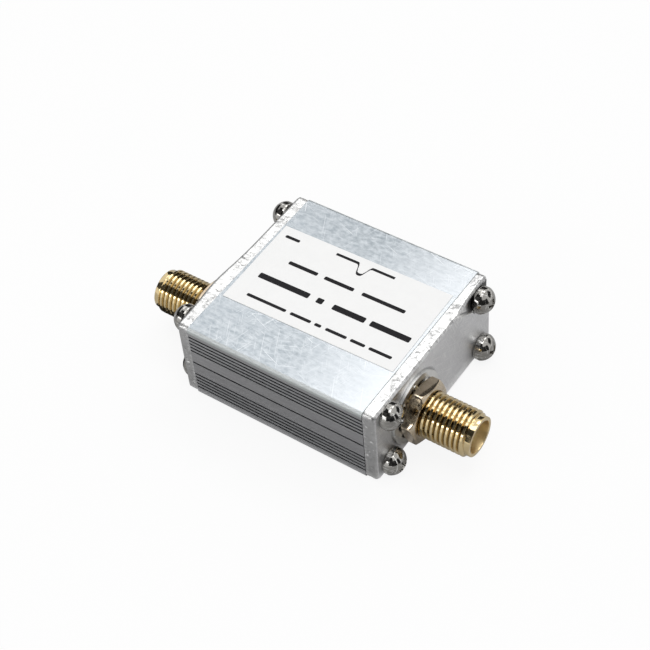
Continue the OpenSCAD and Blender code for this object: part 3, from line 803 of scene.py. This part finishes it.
def nut_shape(turn):
    """a hexagon nut whose corners are rounded over by its chamfers"""
    shape = bmesh.new()
    count = 240
    half_side = math.pi / 6
    corner_r = flat_half / math.cos(half_side)
    slope = math.tan(math.radians(30))
    levels = [0, 0.02, 0.05, 0.09, 0.13, 0.17, 0.21, 0.25, 0.29, 0.34, 0.4, 0.6, 0.8, 1.0]
    levels += [nut_high - level for level in reversed(levels[:-1])]
    rings = []
    for level in levels:
        ring = []
        from_face = min(level, nut_high - level)
        for k in range(count):
            angle = 2 * math.pi * k / count
            off_corner = abs((angle - turn + half_side) % (2 * half_side) - half_side)
            hexagon = flat_half / math.cos(half_side - off_corner)
            hexagon = min(hexagon, corner_r - corner_cut + corner_swell * off_corner)
            cone = flat_half - chamfer_in + from_face / slope
            r = (hexagon + cone - math.sqrt((hexagon - cone) ** 2 + chamfer_blend**2)) / 2
            ring.append(shape.verts.new((nut_from + level, r * math.cos(angle), r * math.sin(angle))))
        rings.append(ring)
    for x, r in ((nut_to, nut_bore + bore_flare), (nut_to - 0.02, nut_bore + bore_flare - 0.04),
                 (nut_to - bore_lead, nut_bore), (nut_from + bore_lead, nut_bore),
                 (nut_from, nut_bore + bore_flare - 0.02)):
        rings.append([shape.verts.new((x, p[0], p[1])) for p in circle(0, 0, r, count)])
    join_rings(shape, rings + rings[:1])
    return shape


bar_gold, tree, shader = start_material("gold plated nut", 1.0)
worn = placed(tree, uneven, Density=(500, 500, 500), Contrast=2.0, Detail=4.0, Start=2.0)
rubbed = placed(tree, scratches, Turn=(0.4, math.radians(60), 0), Length=0.0018, Width=0.00008,
                Threshold=0.75, Start=1.0)
tone = between(tree, worn, (0.72, 0.61, 0.46), (0.44, 0.35, 0.25))
tone = between(tree, rubbed, tone, (0.92, 0.84, 0.66))
# painted shade: the left nut is painted darker, as it lies in its plate's shadow
soil_and_shade = spread(tree, object_place(tree, 0), nut_shade_from, nut_shade_to, 0.5, 0)
tone = between(tree, soil_and_shade, tone, (0.07, 0.05, 0.04))
surface(tree, shader, tone, spread(tree, worn, 0, 1, 0.06, 0.12), worn, 0.000003, 0.15)
for side, word in ((1, "right"), (-1, "left")):
    nut = to_side(nut_shape(nut_turns[side]), side)
    finish(f"{word}_nut", nut, bar_gold, "gold_nut", f"{word}_hex_nut", sharp=60)

# Lock washers
# Stamped from spring steel and nickel plated, with ten short teeth twisted out of the ring that
# bite into plate and nut.
spring = grained("nickel plated spring steel", 1.0, ((0.90, 0.90, 0.88), (0.72, 0.72, 0.70)), (0.25, 0.4),
                 (0.000004, 0.3), (800, 800, 800), 1.8, 3.0, 1.0)
for word in ("right", "left"):
    dress(f"{word}_lock_washer", spring)

# Filter board
# Green lacquered glass epoxy board between the jack legs, with copper tracks, five chip
# capacitors, five wound chip inductors and the solder that holds them and the jacks.
dress("filter_board", grained(
    "green lacquer", 0.0, ((0.03, 0.17, 0.07), (0.05, 0.24, 0.10)), (0.3, 0.42), (0.00001, 0.3),
    (4000, 4000, 4000), 1.5, 2.0, Coat_Weight=0.3))
dress("copper_tracks", grained(
    "copper foil", 1.0, ((0.85, 0.48, 0.28), (0.62, 0.33, 0.20)), (0.25, 0.45), (0.000005, 0.3),
    (1200, 1200, 1200), 1.8, 4.0))
dress("chip_capacitors", grained(
    "capacitor ceramic", 0.0, ((0.40, 0.28, 0.17), (0.50, 0.36, 0.23)), (0.4, 0.6), (0.000005, 0.4),
    (5000, 5000, 5000), 1.6, 3.0))
dress("chip_inductors", grained(
    "lacquered winding", 0.0, ((0.30, 0.11, 0.05), (0.46, 0.20, 0.09)), (0.3, 0.5), (0.00001, 0.5),
    (300, 9000, 9000), 2.0, 2.0, Coat_Weight=0.5))
dress("solder_joints", grained(
    "solder", 1.0, ((0.78, 0.79, 0.80), (0.62, 0.63, 0.64)), (0.2, 0.4), (0.00001, 0.4),
    (2500, 2500, 2500), 2.0, 5.0))

# Label
# Glossy white paper, stuck on the top by hand and a little askew. Its print is plain: rows of
# dark dashes, and a curve that dips once as the filter's response does.
label_half, label_turn, label_y = (13.2, 7.5), math.radians(1), 0.75
label_low, label_high, label_edge = 13.0, 13.1, 0.03
curve_from, curve_step, curve_y, curve_half = -4.2, 0.2, 6.35, 0.22
dip_x, dip_half, dip_depth = 0.4, 0.75, 1.75


def bar(x, y, length, height):
    """the corners of one printed dash, its ends a little rounded"""
    cut = min(height * 0.28, 0.12)
    right, top = x + length, y + height
    return [Vector(c) for c in ((x + cut, y), (right - cut, y), (right, y + cut), (right, top - cut),
                                (right - cut, top), (x + cut, top), (x, top - cut), (x, y + cut))]


# each row's lower edge and height, with the start and length of its dashes
prints = [bar(-12.1, 5.55, 2.3, 0.5)]
for row_y, height, dashes in ((1.55, 0.62, ((-8.9, 4.6), (-3.2, 4.6), (2.7, 6.6))),
                              (-2.45, 0.95, ((-11.1, 8.0), (-1.9, 1.0), (0.6, 5.0), (6.4, 6.0))),
                              (-5.95, 0.5, ((-10.5, 6.2), (-3.6, 3.2), (0.2, 1.0), (1.9, 3.2), (5.7, 2.2),
                                            (8.5, 3.4)))):
    prints += [bar(x, row_y, length, height) for x, length in dashes]
curve = [Vector((x, curve_y - dip_depth * math.exp(-((x - dip_x) / dip_half) ** 4)))
         for x in [curve_from + curve_step * k for k in range(47)]]
thick = Vector((0, curve_half))
prints.append([p - thick for p in curve] + [p + thick for p in reversed(curve)])

paper = grained("glossy paper", 0.0, ((0.93, 0.93, 0.925), (0.90, 0.90, 0.895)), (0.32, 0.42),
                (0.00001, 0.25), (700, 700, 700), 1.5, 4.0)
ink = grained("dark ink", 0.0, ((0.010, 0.010, 0.012), (0.022, 0.021, 0.023)), (0.3, 0.45),
              (0.000005, 0.2), (3500, 3500, 3500), 1.8, 3.0, Specular_IOR_Level=0.08)

sheet = bmesh.new()
rim = [Vector((x * label_half[0], y * label_half[1])) for x, y in ((-1, -1), (1, -1), (1, 1), (-1, 1))]
inner_rim = [p - Vector((math.copysign(label_edge, p[0]), math.copysign(label_edge, p[1]))) for p in rim]
outlines = [inner_rim] + prints
points, loops = [], []
for outline in outlines:
    loops.append(list(range(len(points), len(points) + len(outline))))
    points += outline
found = geometry.delaunay_2d_cdt(points, [], loops, 1, 0.0001)
verts = [sheet.verts.new((x, y, label_high)) for x, y in found[0]]
for face, origins in zip(found[2], found[5]):
    made = sheet.faces.new([verts[k] for k in face])
    made.material_index = 1 if any(origin > 0 for origin in origins) else 0
rings = [[sheet.verts.new((x, y, z)) for x, y in loop]
         for loop, z in ((inner_rim, label_high), (rim, label_high - label_edge), (rim, label_low))]
join_rings(sheet, rings)
sheet.faces.new(rings[-1])
bmesh.ops.rotate(sheet, verts=sheet.verts, matrix=Matrix.Rotation(label_turn, 3, "Z"))
bmesh.ops.translate(sheet, verts=sheet.verts, vec=(0, label_y, 0))
label = finish("paper_label", sheet, paper, "label", "label", sharp=20)
label.data.materials.append(ink)

# Floor, light and camera
# White floor and surroundings for a product picture. Dark and grey cards that the camera doesn't
# see give the bright metal something to mirror, and soft boxes light it from above and behind.
floor_seen, floor_mirrored = 0.88, 0.15


def seen_directly(tree):
    """1 for rays that show the background: straight, mirrored or through glass"""
    path = put(tree, "ShaderNodeLightPath").outputs
    first = reckon(tree, "MAXIMUM", path["Is Camera Ray"], path["Is Glossy Ray"])
    return reckon(tree, "MAXIMUM", first, path["Is Transmission Ray"])


world = bpy.data.worlds.new("white studio")
scene.world = world
world.use_nodes = True
tree = world.node_tree
tree.nodes.clear()
ambient = put(tree, "ShaderNodeBackground", {"Color": (1, 1, 1, 1), "Strength": 0.6})
white = put(tree, "ShaderNodeBackground", {"Color": (1, 1, 1, 1), "Strength": 1.0})
sky = put(tree, "ShaderNodeMixShader", {0: seen_directly(tree), 1: ambient.outputs[0], 2: white.outputs[0]})
put(tree, "ShaderNodeOutputWorld", {"Surface": sky.outputs[0]})

floor_mat = bpy.data.materials.new("white floor")
floor_mat.use_nodes = True
tree = floor_mat.node_tree
tree.nodes.clear()
matt = put(tree, "ShaderNodeBsdfDiffuse", {"Color": (0.92, 0.92, 0.92, 1)})
glow = put(tree, "ShaderNodeEmission", {"Color": (1, 1, 1, 1), "Strength": 1.0})
path = put(tree, "ShaderNodeLightPath").outputs
mirrored = reckon(tree, "MAXIMUM", path["Is Glossy Ray"], path["Is Transmission Ray"])
mirrored = reckon(tree, "MULTIPLY", mirrored, floor_mirrored)
share = reckon(tree, "MULTIPLY_ADD", path["Is Camera Ray"], floor_seen, mirrored)
both = put(tree, "ShaderNodeMixShader", {0: share, 1: matt.outputs[0], 2: glow.outputs[0]})
put(tree, "ShaderNodeOutputMaterial", {"Surface": both.outputs[0]})


def panel(name, centre, aim, width, height, material):
    """a flat sheet of the studio that faces a point"""
    shape = bmesh.new()
    bmesh.ops.create_grid(shape, x_segments=1, y_segments=1, size=0.5)
    made = to_object(name, shape)
    made.data.materials.append(material)
    made.location = centre
    made.rotation_euler = (Vector(aim) - Vector(centre)).to_track_quat("Z", "Y").to_euler()
    made.scale = (width, height, 1)
    return made


def card_material(name, grey):
    """a plain grey for cards"""
    material = bpy.data.materials.new(name)
    material.use_nodes = True
    material.node_tree.nodes["Principled BSDF"].inputs["Base Color"].default_value = (grey, grey, grey, 1)
    return material


def card(name, centre, aim, width, height, material):
    """a sheet that only mirrors and polished metal see"""
    made = panel(name, centre, aim, width, height, material)
    made.visible_camera = made.visible_diffuse = made.visible_shadow = False


panel("floor", (0, 0, 0), (0, 0, 1), 4, 4, floor_mat)
middle = (0, 0, 0.01)

# dark cards that stand round the filter: direction, distance, lower and upper edge, width
dark = card_material("dark card", 0.01)
standing = ((232, 0.40, 0.17, 0.69, 0.60), (115, 0.48, 0.02, 0.36, 0.40), (48, 0.22, 0.05, 0.16, 0.16),
            (-1, 0.13, 0, 0.09, 0.045), (328, 0.26, 0, 0.20, 0.16), (300, 0.40, 0.03, 0.62, 0.34),
            (180, 0.26, 0, 0.16, 0.30))
for number, (angle, away, low, high, width) in enumerate(standing):
    turn = math.radians(angle)
    centre = (away * math.cos(turn), away * math.sin(turn), (low + high) / 2)
    card(f"dark_card_{number}", centre, (0, 0, centre[2]), width, high - low, dark)
card("dark_card_high", (-0.185, -0.085, 0.42), middle, 0.24, 0.11, dark)
card("dark_card_front", (0.055, -0.25, 0.39), middle, 0.38, 0.26, dark)
# painted shadow: a small dark card under the left barrel stands in for the shade on the floor beneath it,
# seen only in the metal
card("dark_card_under", (-0.0235, -0.006, 0.0006), (-0.0235, -0.006, 1), 0.010, 0.014, dark)

# grey cards that lie round the filter as painted shade of the floor, which only the metal mirrors: place,
# width and depth
grey = card_material("floor shade card", 0.58)
lying = ((0.116, 0, 0.2, 0.4), (-0.116, 0, 0.2, 0.4), (0, -0.1146, 0.032, 0.2), (0, 0.1146, 0.032, 0.2))
for number, (x, y, width, depth) in enumerate(lying):
    card(f"grey_card_{number}", (x, y, 0.0004), (x, y, 1), width, depth, grey)


def lamp(name, centre, aim, width, height, watts, turn=0):
    """a soft box that faces a point"""
    light = bpy.data.lights.new(name, "AREA")
    light.shape, light.size, light.size_y, light.energy = "RECTANGLE", width, height, watts
    made = bpy.data.objects.new(name, light)
    scene.collection.objects.link(made)
    made.location = centre
    facing = (Vector(aim) - Vector(centre)).to_track_quat("-Z", "Y").to_matrix()
    made.rotation_euler = (facing @ Matrix.Rotation(math.radians(turn), 3, "Z")).to_euler()


lamp("back_box", (0.05, 0.317, 0.495), middle, 0.22, 0.20, 0.45)
lamp("top_box", (0.05, -0.10, 0.66), middle, 0.50, 0.42, 1.05)
# the crests of the right and the left thread mirror these two strips
lamp("right_strip", (-0.178, 0.215, 0.520), (0.021, -0.005, 0.009), 0.30, 0.05, 0.09, 51.5)
lamp("left_strip", (-0.316, 0.276, 0.436), (-0.021, -0.005, 0.009), 0.31, 0.05, 0.09, 52)
lamp("front_strip", (-0.165, -0.327, 0.180), middle, 0.17, 0.055, 0.13)

view = bpy.data.cameras.new("camera")
view.lens, view.sensor_width, view.clip_start, view.clip_end = 88.348, 36, 0.01, 20
camera = bpy.data.objects.new("camera", view)
scene.collection.objects.link(camera)
camera.location = (0.087242, -0.112537, 0.165994)
camera.rotation_euler = [math.radians(turn) for turn in (41.926, 3.733, 34.241)]
scene.camera = camera
scene.view_settings.view_transform = "Standard"
